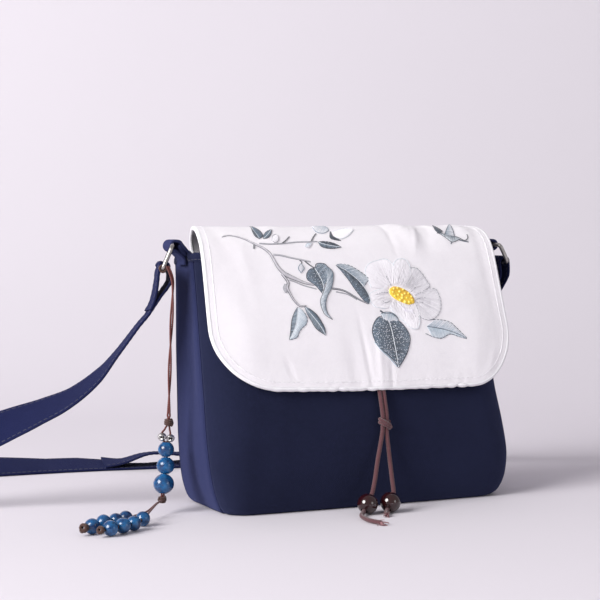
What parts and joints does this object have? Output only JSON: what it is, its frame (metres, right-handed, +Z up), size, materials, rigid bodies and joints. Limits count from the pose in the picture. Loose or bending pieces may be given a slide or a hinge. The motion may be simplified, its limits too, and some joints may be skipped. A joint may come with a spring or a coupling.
{
  "type": "embroidered shoulder bag",
  "caption": "Small flat-bottomed cloth shoulder bag with a rounded embroidered flap over the mouth, corded beads that close it, a hanging bead charm and a webbing strap trailing behind.",
  "frame": {"origin": "centre of the bag's flat base, on the surface it stands on", "axes": "+Z up, -Y towards the embroidered front of the flap, +X to the viewer's right"},
  "size_m": [0.5126, 0.3045, 0.1816],
  "materials": {
    "navy": "matte cloth",
    "pale": "matte cloth",
    "white": "matte piping",
    "metal": "satin",
    "cord": "matte cord",
    "maroon": "gloss",
    "brown": "matte cord",
    "reddish": "matte cord",
    "silver": "satin",
    "glaze": "gloss"
  },
  "bodies": {
    "root": {"front_panel": "navy", "back_panel": "navy", "gusset": "navy", "mouth_hem": "navy", "flap": "pale", "flap_piping": "white", "ring_left": "metal", "ring_right": "metal", "tab_left": "navy", "tab_right": "navy", "strap": "navy", "closure_knot": "cord", "closure_cord_left": "cord", "closure_cord_right": "cord", "closure_bead_left": "maroon", "closure_bead_right": "maroon", "charm_hitch": "reddish", "charm_strand_a": "brown", "charm_strand_b": "brown", "charm_knot_upper": "brown", "charm_knot_lower": "reddish", "charm_bead_1": "glaze", "charm_bead_2": "glaze", "charm_bead_3": "glaze", "charm_bell_a": "silver", "charm_bell_b": "silver", "tail_bead_a": "glaze", "tail_bead_b": "glaze", "tail_bead_c": "glaze", "tail_bead_d": "glaze", "tail_bead_e": "glaze", "tail_bead_f": "glaze", "tail_bead_g": "glaze", "tail_bead_h": "glaze", "tail_knot_a": "brown", "tail_knot_b": "brown"}
  },
  "joints": []
}
